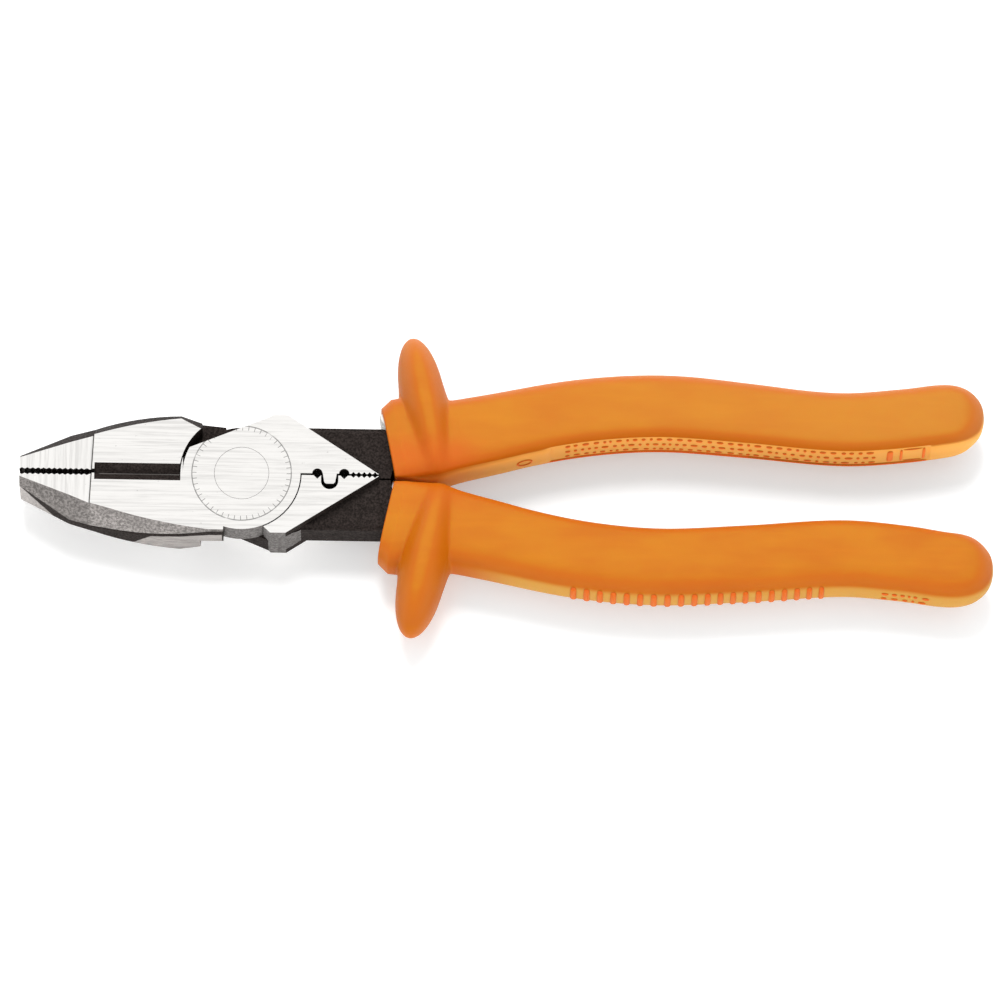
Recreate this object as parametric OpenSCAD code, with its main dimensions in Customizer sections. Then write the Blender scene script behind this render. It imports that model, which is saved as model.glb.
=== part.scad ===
// Insulated side-cutting lineman pliers, nose towards -X, handles towards +X, closed.
// The origin is on the pivot axis, which is Z, at the front face of the ground head.
// The modules draw each part about the middle of the head's thickness, and placed() moves it.
// The half with the lower jaw has its lap in front (z > 0 there) and carries the upper handle.
// The half with the upper jaw has its lap at the back (z < 0 there) and carries the lower handle.

/* [Head] */
// Thickness of the ground head across both laps
head_t = 16; // [15:0.5:17]
// Distance from the pivot axis to the tip of the nose
nose_len = 55.5; // [53:0.5:58]
// Distance from the pivot axis to the step behind the gripping nose
step_x = 37; // [36:0.5:38]
// How far the nose faces lie below the ground head faces
nose_drop = 0.9; // [0.4:0.1:1.2]
// Slope of the step line against the YZ plane
step_lean = 0.04; // [0:0.01:0.06]
// Distance from the pivot axis to the back end of the full-thickness jaw
jaw_rear_x = 10.15; // [9.5:0.05:11]
// Distance from the pivot axis to the stop step on the side of the lap
stop_x = 4.3; // [4:0.1:5]

/* [Mouth and knives] */
// Gap between the nose's gripping faces
mouth_gap = 1.1; // [0.9:0.1:1.4]
// Pitch of the gripping teeth
tooth_pitch = 1.35; // [1.2:0.05:1.6]
// Depth of the gripping teeth
tooth_depth = 0.35; // [0.2:0.05:0.45]
// Half-width of the knife recess at the front face
knife_half_w = 2.2; // [1.8:0.1:2.4]
// Depth of the cutting edges below the front face
knife_depth = 1.7; // [1.4:0.1:2]
// Gap between the closed cutting edges
knife_gap = 0.1; // [0.06:0.02:0.2]
// Half-width of the chip relief behind the cutting edges
relief_half_w = 3; // [2.6:0.1:3.4]

/* [Lap joint] */
// Radius of the round boss on each lap
boss_r = 14.7; // [14.6:0.05:14.8]
// Radius of the lap's edge where it runs behind the other jaw
lobe_r = 15.25; // [15.1:0.05:15.3]
// Clearance between each lap and the other half
boss_gap = 0.3; // [0.25:0.05:0.4]
// Axial clearance between the two laps
lap_gap = 0.06; // [0.04:0.02:0.1]
// Distance from the pivot axis to the straight edge of each lap
chord_dist = 11.16; // [11:0.02:11.4]
// Angle of the straight edge of each lap
chord_angle = 22.7; // [22:0.1:23.5]

/* [Rivet] */
// Radius of the rivet's shank
rivet_r = 5; // [4.5:0.1:5.5]
// Radius of the rivet's flush heads
rivet_head_r = 6.8; // [6.4:0.1:7.2]
// Depth of each countersunk head
rivet_head_t = 1.8; // [1.4:0.1:2.2]
// Radial running clearance in the half that turns
run_gap = 0.05; // [0.02:0.01:0.09]

/* [Crimping die] */
// Gap between the closed dies
die_gap = 0.5; // [0.4:0.05:0.6]
// Distance from the pivot axis to the middle of the crimping tooth
die_x = 22; // [21.8:0.1:22.2]
// Height of the crimping tooth below the die line
tooth_h = 2.4; // [2.1:0.1:2.6]
// Radius of the crimping cavity
cavity_r = 2.15; // [2.05:0.05:2.25]
// Distance from the die line to the centre of the crimping cavity
cavity_drop = 1.7; // [1.5:0.1:1.8]
// Pitch of the diamond serrations behind the die
serration_pitch = 1.35; // [1.3:0.05:1.4]
// Number of diamond serrations behind the die
serration_count = 5; // [3:1:5]

/* [Tangs] */
// Thickness of the tangs where they leave the head
tang_t = 10; // [9:0.5:10.5]
// Thickness of the tangs inside the grips
tang_rear_t = 8.4; // [7.5:0.1:8.6]
// Distance from the centre plane to the outer edge of the bare tangs
tang_outer = 13.4; // [13:0.1:14]
// Half-width of the tangs inside the grips
tang_half_w = 4.6; // [4:0.1:4.8]
// Distance from the pivot axis to the end of the tangs
tang_end_x = 168; // [160:1:169]
// Gap between the tangs and between the closed grips
seam_gap = 0.5; // [0.3:0.05:0.7]

/* [Grips] */
// Distance from the pivot axis to the end of the upper grip
upper_end_x = 185.5; // [184.5:0.5:187]
// Distance from the pivot axis to the end of the lower grip
lower_end_x = 187.9; // [186:0.1:189]
// Reach of a grip outwards from its centre line just behind the guard
grip_w_front = 9.5; // [9.3:0.1:9.9]
// Reach of a grip outwards from its centre line near its end
grip_w_rear = 8.6; // [8.4:0.05:9]
// Half-thickness of a grip
grip_half_t = 8.6; // [8.5:0.1:9]
// Wall of the outer grip layer
grip_wall = 3; // [2.8:0.1:3.1]
// Reach of the collar outwards from the handle's centre line
collar_reach = 13.1; // [12.8:0.1:13.4]
// Reach of the tongue guard outwards from the handle's centre line
guard_reach = 27.7; // [26:0.1:29]
// Radius of the guard's rounded rim
guard_rim_r = 3.85; // [3.5:0.05:4.2]
// Half-width of the guard across the tool's thickness
guard_half_t = 15.5; // [13:0.5:17]
// Clearance between the layers of a handle
layer_gap = 0.03; // [0.02:0.01:0.06]

/* [Hidden] */

bright_steel = "gainsboro";
black_steel = "#26221f";
white_layer = "whitesmoke";
orange_vinyl = "#e68a32";

$fn = 96;
half_t = head_t / 2;
over = 1;     // how far a cutting shape runs past the surface it cuts
slab = 0.01;  // thickness of the slices that a jaw block is hulled from

// Side profile of each jaw from the step to the heel of the jaw. Each row is the start,
// control and end value of a quadratic curve: the face edge, the ridge under the bevel,
// the depth of the front bevel and the depth of the back bevel.
lower_flank = [[8.45, 13.28, 14.9], [12.1, 15.69, 15.3], [6.7, 5.7, 0.6], [4.3, 1, 0.6]];
upper_flank = [[9.6, 14.2, 14.6], [13.1, 17.75, 14.6], [6.7, 5.7, 0.6], [4.3, 1, 0.6]];
flank_len = 29;     // length of that curve along X
flank_steps = 8;
flank_turn = 0.745; // share of the curve where the shorter side of a jaw starts to turn in
// Face edge, ridge, lap-side and far-side bevel at the turned-in corner of each jaw.
lower_corner = [13, 15, 2.5, 2.5];
upper_corner = [11.4, 14, 3.4, 3.4];

// Slices of each nose: distance from the pivot, face edge, ridge, front and back bevel.
lower_nose = [[nose_len, 1.35, 3, 4.2, 0.6], [43, 6.1, 10.8, 5.6, 5], [step_x, 8.3, 12.1, 5.8, 3.4]];
upper_nose = [[nose_len, 3.5, 5.3, 4.2, 0.6], [43, 7.7, 11.3, 5.6, 5], [step_x, 9.5, 13.1, 5.8, 3.4]];

// Heel of each half: its front corner, the shoulder and the point of the bright die plate.
heel_corner = [5.4, 13.6];
shoulder = [[7.4, 15.5], [11.25, 15.5]];
plate_tip_x = 34.3;
heel_on_chord = [8, 12.7];       // where the front heel's outline meets the lap's straight edge
pocket_r = 1.3;                  // pockets beside the crimping tooth
pocket_x = [-3.1, 3.6];          // their places from the middle of the tooth
tooth_half_w = 1.7;
tooth_tip_r = 0.7;
tooth_taper = 0.3;               // how much narrower the tooth is at its tip, on each side
first_serration_x = 27.9;
serration_w = 1.1;
relief_slope = 3.8;              // depth over which the chip relief opens out
lap_bevel = 0.4;                 // bevel where a jaw's side runs out on the lap
recess_x = sqrt(pow(lobe_r + boss_gap, 2) - pow(relief_half_w, 2));
mouth_end_x = step_x - 0.25;

// Handle centre line: distance along X, distance from the centre plane.
spine = [
    [34, 8.5], [62, 14.1], [84, 18.55], [104, 20.2], [126, 18.9],
    [150, 16.95], [166, 18.05], [177, 19.6], [190, 19.3],
];
front_lean = 11.5;     // angle between the mouth of a grip and the YZ plane
lean_until_x = 60;     // beyond this the slices of a grip follow the centre line
tang_in_x = 48;        // where the tang takes up the handle's centre line
tang_root = [9.5, 12]; // where the tang's outer edge starts inside the shoulder
tang_outer_x = [15, 36];             // the straight stretch of the tang's outer edge
tang_die_side = [[16.2, 4.4], [26.5, 4.4]];  // its inner edge, behind the crimping die
tang_neck = [[36, 0.25], [37, 4.5], [39.5, 5.3]];  // and where it leaves the centre plane
tang_step_x = 42;      // where the tang becomes thinner
tang_steps = 24;
tang_chamfer = 1.2;    // chamfer along the outer edges of the bare tang
mouth_x = 36.5;        // where the mouth of a grip crosses the centre line
collar_x = 39.3;       // where the chamfer at the mouth ends
collar_len = 12;       // length over which the collar narrows to the handle
inner_flat = 0.4;      // how much nearer the flatter inner side is to the centre line
collar_inner = 0.6;    // how much wider the collar is on its inner side
rim_bevel_x = 0.01;    // length of the first slice behind the chamfer
chamfer_slope = 0.68;
guard_x = 47.7;        // where the guard's middle plane crosses the centre line
guard_taper = 5;       // rise of the guard's sides for each millimetre of thickness
guard_root = 4.4;      // length of each side of the guard beyond its rim
guard_blend = 1.2;     // size of the fillet at the guard's root
guard_swell = 0.7;     // how quickly the guard swells from the handle across the thickness
body_pitch = 6;        // spacing of the slices along a handle
collar_pitch = 3;      // spacing of a sleeve's slices under the collar
cap_len = 11.5;        // length of the rounded end of a grip
sleeve_cap_len = 5;    // length of the rounded end of a sleeve
sleeve_past_tang = 1;  // where that rounded end starts beyond the tang
sleeve_proud = 0.6;    // how far the inner sleeve shows in front of the grip
sleeve_seam = 1.85;    // distance of the sleeves from the centre plane
round_power = 2.2;     // exponent of the guard's outline and of a grip's end; 2 is an ellipse
outer_power = 3;       // exponent of a grip's section on its outer side
inner_power = 4;       // exponent of a grip's section on its inner side, which is flatter
ring_points = 32;

function quad(c, s) = c[0] * (1 - s) * (1 - s) + 2 * c[1] * s * (1 - s) + c[2] * s * s;
function signed_pow(v, p) = sign(v) * pow(abs(v), p);
function soft_max(a, b, k) = (a + b + sqrt((a - b) * (a - b) + k * k)) / 2;
function mix(a, b, s) = a + (b - a) * min(max(s, 0), 1);

// ---- the head ----

// One slice of a jaw across X, reaching outwards towards -Y. s holds the face edge, the
// ridge and the depths of the bevels at +Z and -Z, t is its half-thickness.
module jaw_slice(x, s, t, lean_by = 0) {
    multmatrix([[1, lean_by, 0, -x], [0, 1, 0, 0], [0, 0, 1, 0], [0, 0, 0, 1]])
        rotate([90, 0, 90])
            linear_extrude(slab)
                polygon([[0, -t], [-s[0], -t], [-s[1], -t + s[3]],
                         [-s[1], t - s[2]], [-s[0], t], [0, t]]);
}

module nose_block(slices, front_is_near) {
    hull()
        for (s = slices)
            let (bevels = front_is_near ? [s[3], s[4]] : [s[4], s[3]])
                jaw_slice(s[0], [s[1], s[2], bevels[0], bevels[1]], half_t - nose_drop,
                    s[0] == step_x ? -step_lean : 0);
}

// The curved part of a jaw's side, up to the share upto, closed with one more slice.
module flank_block(flank, front_is_near, upto, last_x, last_slice) {
    near = front_is_near ? 2 : 3;
    far = front_is_near ? 3 : 2;
    hull() {
        for (i = [0:flank_steps])
            let (s = upto * i / flank_steps)
                jaw_slice(step_x - flank_len * s,
                    [for (row = [0, 1, near, far]) quad(flank[row], s)],
                    half_t, i == 0 ? -step_lean : 0);
        jaw_slice(last_x, last_slice, half_t);
    }
}

module layer(z0, z1) {
    size = 4 * nose_len;
    translate([-size / 2, -size / 2, z0]) cube([size, size, z1 - z0]);
}

module jaw(nose, flank, corner, front_is_near) {
    nose_block(nose, front_is_near);
    intersection() {
        flank_block(flank, front_is_near, 1, stop_x,
            [flank[0][2], flank[1][2], lap_bevel, lap_bevel]);
        layer(0, half_t);
    }
    intersection() {
        flank_block(flank, front_is_near, flank_turn, jaw_rear_x, corner);
        layer(-half_t, slab);
    }
}

// Outline of the heel behind the boss. front is the list of its points before the shoulder.
module heel_2d(front) {
    polygon(concat([[0, die_gap / 2]], front, shoulder,
        [[plate_tip_x, die_gap / 2]]));
}

module upper_die_2d(front) {
    difference() {
        union() {
            heel_2d(front);
            hull() {
                translate([die_x - tooth_half_w, 0]) square([2 * tooth_half_w, die_gap]);
                for (side = [-1, 1])
                    translate([die_x + side * (tooth_half_w - tooth_taper - tooth_tip_r),
                               tooth_tip_r - tooth_h])
                        circle(r = tooth_tip_r, $fn = 32);
            }
        }
        for (x = pocket_x) translate([die_x + x, die_gap / 2]) circle(r = pocket_r);
        serrations_2d();
    }
}

// The lower die is drawn above the line, in the frame of one half.
module lower_die_2d(front) {
    difference() {
        heel_2d(front);
        translate([die_x, cavity_drop]) circle(r = cavity_r);
        translate([die_x - cavity_r, 0]) square([2 * cavity_r, cavity_drop]);
        for (x = pocket_x)
            translate([die_x + x, die_gap / 2]) rotate(45) square(pocket_r, center = true);
        serrations_2d();
    }
}

module serrations_2d() {
    for (i = [0:serration_count - 1])
        translate([first_serration_x + serration_pitch * i, 0])
            rotate(45) square(serration_w, center = true);
}

module die_2d(male, front) {
    if (male) upper_die_2d(front);
    else lower_die_2d(front);
}

// Round boss and lobe, cut off by the lap's straight edge.
module boss_2d() {
    difference() {
        union() {
            circle(r = boss_r);
            intersection() {
                circle(r = lobe_r);
                translate([-2 * boss_r, -boss_r / 2]) square([boss_r, boss_r]);
            }
        }
        rotate(chord_angle)
            translate([-2 * boss_r, chord_dist]) square([4 * boss_r, boss_r]);
    }
}

function on_chord(along) =
    [along * cos(chord_angle) - chord_dist * sin(chord_angle),
     along * sin(chord_angle) + chord_dist * cos(chord_angle)];

// Everything that the other half's lap must be free to turn in.
module lap_room() {
    translate([0, 0, -half_t - over])
        linear_extrude(half_t + over + lap_gap / 2) {
            circle(r = boss_r + boss_gap);
            intersection() {
                circle(r = lobe_r + boss_gap);
                translate([-2 * boss_r, -boss_r]) square([2 * boss_r, 2 * boss_r]);
            }
        }
}

module mouth_cut() {
    count = 2 * floor((nose_len - mouth_end_x) / tooth_pitch);
    function edge(i) = [i * tooth_pitch / 2 - nose_len, mouth_gap / 2 + tooth_depth * (i % 2)];
    edge_points = [for (i = [0:count]) edge(i)];
    profile = concat([[-nose_len - over, mouth_gap / 2]], edge_points, [[-mouth_end_x, mouth_gap / 2]]);
    translate([0, 0, -half_t - over])
        linear_extrude(head_t + 2 * over)
            polygon(concat(profile,
                [for (i = [len(profile) - 1:-1:0]) [profile[i][0], -profile[i][1]]]));
}

// The V in front of the cutting edges and the chip relief behind them.
module knife_cut() {
    edge_z = half_t - knife_depth;
    translate([-mouth_end_x, 0, 0])
        rotate([90, 0, 90])
            linear_extrude(mouth_end_x - recess_x)
                polygon([for (side = [1, -1])
                    let (p = [[knife_half_w, half_t + over], [knife_half_w, half_t],
                              [knife_gap / 2, edge_z], [relief_half_w, edge_z - relief_slope],
                              [relief_half_w, -half_t - over]])
                    for (i = [0:len(p) - 1])
                        let (q = p[side > 0 ? i : len(p) - 1 - i]) [side * q[0], q[1]]]);
}

module rivet_hole(gap) {
    cylinder(r = rivet_r + gap, h = 2 * head_t, center = true);
    translate([0, 0, half_t - rivet_head_t])
        cylinder(r1 = rivet_r + gap, r2 = rivet_head_r + gap, h = rivet_head_t);
}

// ---- handle centre line and tangs ----

function spine_slope(i) =
    let (a = spine[max(i - 1, 0)], b = spine[min(i + 1, len(spine) - 1)])
    (b[1] - a[1]) / (b[0] - a[0]);
function spine_segment(x, i = 0) =
    i == len(spine) - 2 || x < spine[i + 1][0] ? i : spine_segment(x, i + 1);
function spine_y(x) =
    let (
        i = spine_segment(x), a = spine[i], b = spine[i + 1],
        h = b[0] - a[0], t = (x - a[0]) / h, u = 1 - t
    )
    a[1] * u * u * (1 + 2 * t) + b[1] * t * t * (3 - 2 * t)
        + h * t * u * (spine_slope(i) * u - spine_slope(i + 1) * t);
function lean(x) = x < lean_until_x ? front_lean : atan((spine_y(x + 1) - spine_y(x - 1)) / 2);

// Outline of a tang, grown on every side of the part inside the grip by room.
module tang_2d(room = 0) {
    pitch = (tang_end_x + room - tang_in_x) / tang_steps;
    xs = [for (i = [0:tang_steps]) tang_in_x + pitch * i];
    w = tang_half_w + room;
    polygon(concat(
        [tang_root, shoulder[1]],
        [for (x = tang_outer_x) [x, tang_outer + room]],
        [for (x = xs) [x, spine_y(x) + w]],
        [for (i = [tang_steps:-1:0]) [xs[i], spine_y(xs[i]) - w]],
        [for (i = [len(tang_neck) - 1:-1:0]) [tang_neck[i][0], tang_neck[i][1] - room]],
        [[plate_tip_x, seam_gap / 2 - room]],
        [tang_die_side[1], tang_die_side[0]]
    ));
}

module tang(room = 0) {
    linear_extrude(tang_rear_t + 2 * room, center = true) tang_2d(room);
    difference() {
        linear_extrude(tang_t + 2 * room, center = true)
            intersection() {
                tang_2d(room);
                square(2 * (tang_step_x + room), center = true);
            }
        for (side = [-1, 1])
            translate([0, tang_outer + room, side * (tang_t / 2 + room)])
                rotate([45, 0, 0])
                    cube([3 * tang_step_x, sqrt(2) * tang_chamfer, sqrt(2) * tang_chamfer], center = true);
    }
}

// One half, drawn as the half with the lower jaw and the front lap.
module half_blank(nose, flank, corner, front_is_near, male, gap) {
    difference() {
        union() {
            color(bright_steel) {
                jaw(nose, flank, corner, front_is_near);
                linear_extrude(half_t) {
                    boss_2d();
                    die_2d(male, [for (along = heel_on_chord) on_chord(along)]);
                }
                translate([0, 0, -half_t])
                    linear_extrude(head_t) die_2d(male, [heel_corner]);
            }
            color(black_steel) tang();
        }
        lap_room();
        rivet_hole(gap);
    }
}

module lower_jaw_half() {
    difference() {
        half_blank(lower_nose, lower_flank, lower_corner, true, true, run_gap);
        mouth_cut();
        knife_cut();
    }
}

module upper_jaw_half() {
    difference() {
        rotate([180, 0, 0])
            half_blank(upper_nose, upper_flank, upper_corner, false, false, 0);
        mouth_cut();
        knife_cut();
    }
}

module pivot_rivet() {
    color(bright_steel)
        rotate_extrude()
            polygon([[0, -half_t], [rivet_head_r, -half_t], [rivet_r, rivet_head_t - half_t],
                     [rivet_r, half_t - rivet_head_t], [rivet_head_r, half_t], [0, half_t]]);
}

// ---- grips and sleeves ----

function grip_w(x) = mix(grip_w_front, grip_w_rear, (x - guard_x) / (upper_end_x - guard_x));
function collar_w(x) = mix(collar_reach, grip_w_front, (x - collar_x) / collar_len);
function outer_body_w(x) = x < collar_x + collar_len ? collar_w(x) : grip_w(x);
function inner_w(x) = mix(grip_w_front + collar_inner, grip_w(x), (x - guard_x) / collar_len) - inner_flat;
function chamfer(x) = max(collar_x - x, 0) * chamfer_slope;
function guard_w(x) =
    let (d = abs(x - guard_x), rim = guard_reach - guard_rim_r)
    d < guard_rim_r ? rim + sqrt(guard_rim_r * guard_rim_r - d * d)
                    : rim - (d - guard_rim_r) * guard_taper;
function outer_w(x) = soft_max(outer_body_w(x) - chamfer(x), guard_w(x), guard_blend);
function guard_share(x) =
    let (body = outer_body_w(x))
    pow(max(outer_w(x) - body, 0) / (guard_reach - body), guard_swell);

// One slice of a handle. out and in are the reach outwards and inwards, t the
// half-thickness, and guard the guard's share from 0 to 1: it thickens the outer side and
// rounds it. The inner side is cut flat at the distance seam from the centre plane.
function slice(x, out, in, t, guard, seam) =
    let (
        y = spine_y(x), a = lean(x), lowest = (seam - y) / cos(a),
        guard_power = mix(outer_power, round_power, guard),
        bulge = (guard_half_t - grip_half_t) * guard
    )
    [for (i = [0:ring_points - 1])
        let (
            phi = 360 * i / ring_points,
            power = cos(phi) > 0 ? guard_power : inner_power,
            u = max(signed_pow(cos(phi), 2 / power) * (cos(phi) > 0 ? out : in), lowest),
            z = signed_pow(sin(phi), 2 / power) * (t + bulge * (1 + cos(phi)) / 2)
        )
        [x - u * sin(a), y + u * cos(a), z]];

// k scales a slice down inside a rounded end.
function grip_slice(x, k = 1) =
    slice(x, outer_w(x) * k, inner_w(x) * k, (grip_half_t - chamfer(x) / 2) * k,
        guard_share(x), seam_gap / 2);
function sleeve_slice(x, k = 1, room = 0) =
    slice(x, (outer_body_w(x) - grip_wall + room) * k,
        (grip_w(x) - inner_flat - grip_wall + room) * k,
        (grip_half_t - grip_wall + room) * k, 0, sleeve_seam - room);

cap_angles = [15, 30, 43, 55, 66, 75, 82, 87];
function cap_k(a) = pow(cos(a), 2 / round_power);

guard_steps = 8;
guard_offsets = concat([for (a = [0:18:90]) guard_rim_r * sin(a)],
    [for (j = [1:guard_steps]) guard_rim_r + guard_root * j / guard_steps]);
function guard_xs() = concat(
    [for (i = [len(guard_offsets) - 1:-1:1]) guard_x - guard_offsets[i]],
    [for (d = guard_offsets) guard_x + d]);
function spread(x0, x1, pitch) =
    let (n = ceil((x1 - x0) / pitch)) [for (i = [0:n]) x0 + (x1 - x0) * i / n];

function grip_rings(end_x) =
    let (cap_x = end_x - cap_len)
    concat(
        [for (x = concat([mouth_x, collar_x - rim_bevel_x], guard_xs(),
                         spread(lean_until_x, cap_x, body_pitch)))
            grip_slice(x)],
        [for (a = cap_angles) grip_slice(cap_x + cap_len * sin(a), cap_k(a))]);

function sleeve_rings(from_x, room) =
    let (cap_x = tang_end_x + sleeve_past_tang)
    concat(
        [for (x = concat([from_x], spread(collar_x, collar_x + collar_len, collar_pitch),
                         spread(lean_until_x, cap_x, body_pitch)))
            sleeve_slice(x, 1, room)],
        [for (a = cap_angles) sleeve_slice(cap_x + (sleeve_cap_len + room) * sin(a), cap_k(a), room)]);

// A solid through rings that all have the same number of points.
module loft(rings) {
    n = len(rings[0]);
    last = (len(rings) - 1) * n;
    sides = [for (k = [0:len(rings) - 2], i = [0:n - 1])
        let (a = k * n + i, b = k * n + (i + 1) % n)
            each [[b, a, b + n], [b + n, a, a + n]]];
    polyhedron([for (r = rings) each r], concat(
        [[for (i = [0:n - 1]) i]], sides, [[for (i = [n - 1:-1:0]) last + i]]), convexity = 6);
}

// The cavity's rings come first, from its blind end to the mouth, then the outside's.
module grip(end_x) {
    inside = sleeve_rings(mouth_x, layer_gap);
    color(orange_vinyl)
        loft(concat([for (i = [len(inside) - 1:-1:0]) inside[i]], grip_rings(end_x)));
}

module sleeve() {
    color(white_layer)
        difference() {
            loft(sleeve_rings(mouth_x - sleeve_proud, 0));
            tang(layer_gap);
        }
}

module upper_inner_sleeve() { sleeve(); }
module lower_inner_sleeve() { mirror([0, 1, 0]) sleeve(); }
module upper_grip() { grip(upper_end_x); }
module lower_grip() { mirror([0, 1, 0]) grip(lower_end_x); }

module placed() {
    translate([0, 0, -half_t]) children();
}

placed() lower_jaw_half();
placed() upper_jaw_half();
placed() pivot_rivet();
placed() upper_inner_sleeve();
placed() lower_inner_sleeve();
placed() upper_grip();
placed() lower_grip();
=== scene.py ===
"""Looks of the insulated lineman pliers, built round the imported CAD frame.

Lengths in the shape functions are millimetres; MM turns them into Blender's metres. The steel halves and the
rivet take their shape from the CAD nodes and gain rounded edges and finishes. The grips and the sleeves are
new meshes that follow the same centre line and sections as their CAD solids, with the moulded detail added.
"""

import math
import random

import bmesh
import bpy
from mathutils import Matrix, Vector


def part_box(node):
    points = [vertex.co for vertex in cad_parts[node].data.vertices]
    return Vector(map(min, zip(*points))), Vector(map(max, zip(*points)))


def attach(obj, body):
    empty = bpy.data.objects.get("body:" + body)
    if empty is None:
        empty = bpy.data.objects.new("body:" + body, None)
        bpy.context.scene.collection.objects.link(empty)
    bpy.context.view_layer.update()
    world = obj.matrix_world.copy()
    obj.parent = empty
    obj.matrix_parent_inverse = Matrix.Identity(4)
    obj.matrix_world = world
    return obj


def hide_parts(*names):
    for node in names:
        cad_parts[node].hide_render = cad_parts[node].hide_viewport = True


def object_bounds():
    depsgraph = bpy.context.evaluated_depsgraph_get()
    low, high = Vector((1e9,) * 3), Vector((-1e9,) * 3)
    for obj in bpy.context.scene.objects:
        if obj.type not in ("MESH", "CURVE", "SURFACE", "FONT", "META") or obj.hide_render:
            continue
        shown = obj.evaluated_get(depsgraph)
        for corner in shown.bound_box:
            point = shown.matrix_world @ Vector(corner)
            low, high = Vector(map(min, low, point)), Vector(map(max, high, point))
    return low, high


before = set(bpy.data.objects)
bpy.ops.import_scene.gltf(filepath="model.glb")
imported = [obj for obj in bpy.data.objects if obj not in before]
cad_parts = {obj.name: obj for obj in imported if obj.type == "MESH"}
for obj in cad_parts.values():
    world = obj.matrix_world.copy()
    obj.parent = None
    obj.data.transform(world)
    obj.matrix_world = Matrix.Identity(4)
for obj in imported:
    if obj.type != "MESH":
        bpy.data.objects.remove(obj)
cad_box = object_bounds()

MM = 0.001
UPPER, LOWER = 1, -1  # which side of the centre plane a handle is on
UPPER_BODY, LOWER_BODY = "lower_jaw_body", "upper_jaw_body"  # the bodies of the upper and lower handle

rivet_low, rivet_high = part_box("pivot_rivet")
MID_Z = (rivet_low.z + rivet_high.z) / 2 / MM  # middle of the head's thickness
HEAD_HALF = (rivet_high.z - rivet_low.z) / 2 / MM
NOSE_X = cad_box[0].x / MM
RIVET_R = rivet_high.x / MM


# ---------------------------------------------------------------- node helpers


def new_material(name):
    material = bpy.data.materials.new(name)
    material.use_nodes = True
    tree = material.node_tree
    tree.nodes.clear()
    output = tree.nodes.new("ShaderNodeOutputMaterial")
    shader = tree.nodes.new("ShaderNodeBsdfPrincipled")
    tree.links.new(shader.outputs[0], output.inputs[0])
    return material, tree, shader


class Nodes:
    """Short calls for the nodes of one material. A value is a number, a colour or a socket."""

    def __init__(self, tree):
        self.tree = tree
        self.place = tree.nodes.new("ShaderNodeTexCoord").outputs["Object"]
        split = self.make("ShaderNodeSeparateXYZ", Vector=self.place)
        self.x, self.y, self.z = split.outputs

    def make(self, kind, settings=None, **inputs):
        node = self.tree.nodes.new(kind)
        for key, value in (settings or {}).items():
            setattr(node, key, value)
        for key, value in inputs.items():
            self.plug(node.inputs[key.replace("_", " ")], value)
        return node

    def plug(self, socket, value):
        if isinstance(value, bpy.types.NodeSocket):
            self.tree.links.new(value, socket)
        else:
            socket.default_value = value

    def math(self, operation, a, b=0.0, c=0.0):
        node = self.tree.nodes.new("ShaderNodeMath")
        node.operation = operation
        for socket, value in zip(node.inputs, (a, b, c)):
            self.plug(socket, value)
        return node.outputs[0]

    def ramp(self, value, low, high, to_low=0.0, to_high=1.0, smooth=True):
        """value from low..high to to_low..to_high, held at the ends."""
        kind = "SMOOTHSTEP" if smooth else "LINEAR"
        node = self.make("ShaderNodeMapRange", {"interpolation_type": kind})
        for socket, v in zip(node.inputs, (value, low, high, to_low, to_high)):
            self.plug(socket, v)
        return node.outputs[0]

    def mix(self, share, a, b):
        node = self.make("ShaderNodeMix", {"data_type": "RGBA"})
        for index, value in ((0, share), (6, a), (7, b)):
            self.plug(node.inputs[index], value)
        return node.outputs[2]

    def noise(self, scale, stretch=(1, 1, 1), detail=3.0, rough=0.55):
        """Noise with features of about 1 / scale millimetres, stretched by the given factors."""
        sizes = [scale / MM / s for s in stretch]
        mapped = self.make("ShaderNodeMapping", Vector=self.place, Scale=sizes)
        node = self.make(
            "ShaderNodeTexNoise", Vector=mapped.outputs[0], Scale=1.0, Detail=detail, Roughness=rough
        )
        return node.outputs[0]

    def bump(self, height, depth, strength=1.0, before=None):
        """Bump with the given depth in millimetres for a height of 1."""
        node = self.make("ShaderNodeBump", Height=height, Distance=depth * MM, Strength=strength)
        if before is not None:
            self.plug(node.inputs["Normal"], before)
        return node.outputs[0]


def grey(value):
    return (value, value * 0.985, value * 0.965, 1.0)


def warm(value):
    return (value, value * 0.93, value * 0.89, 1.0)


# ---------------------------------------------------------------- steel finishes


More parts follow.
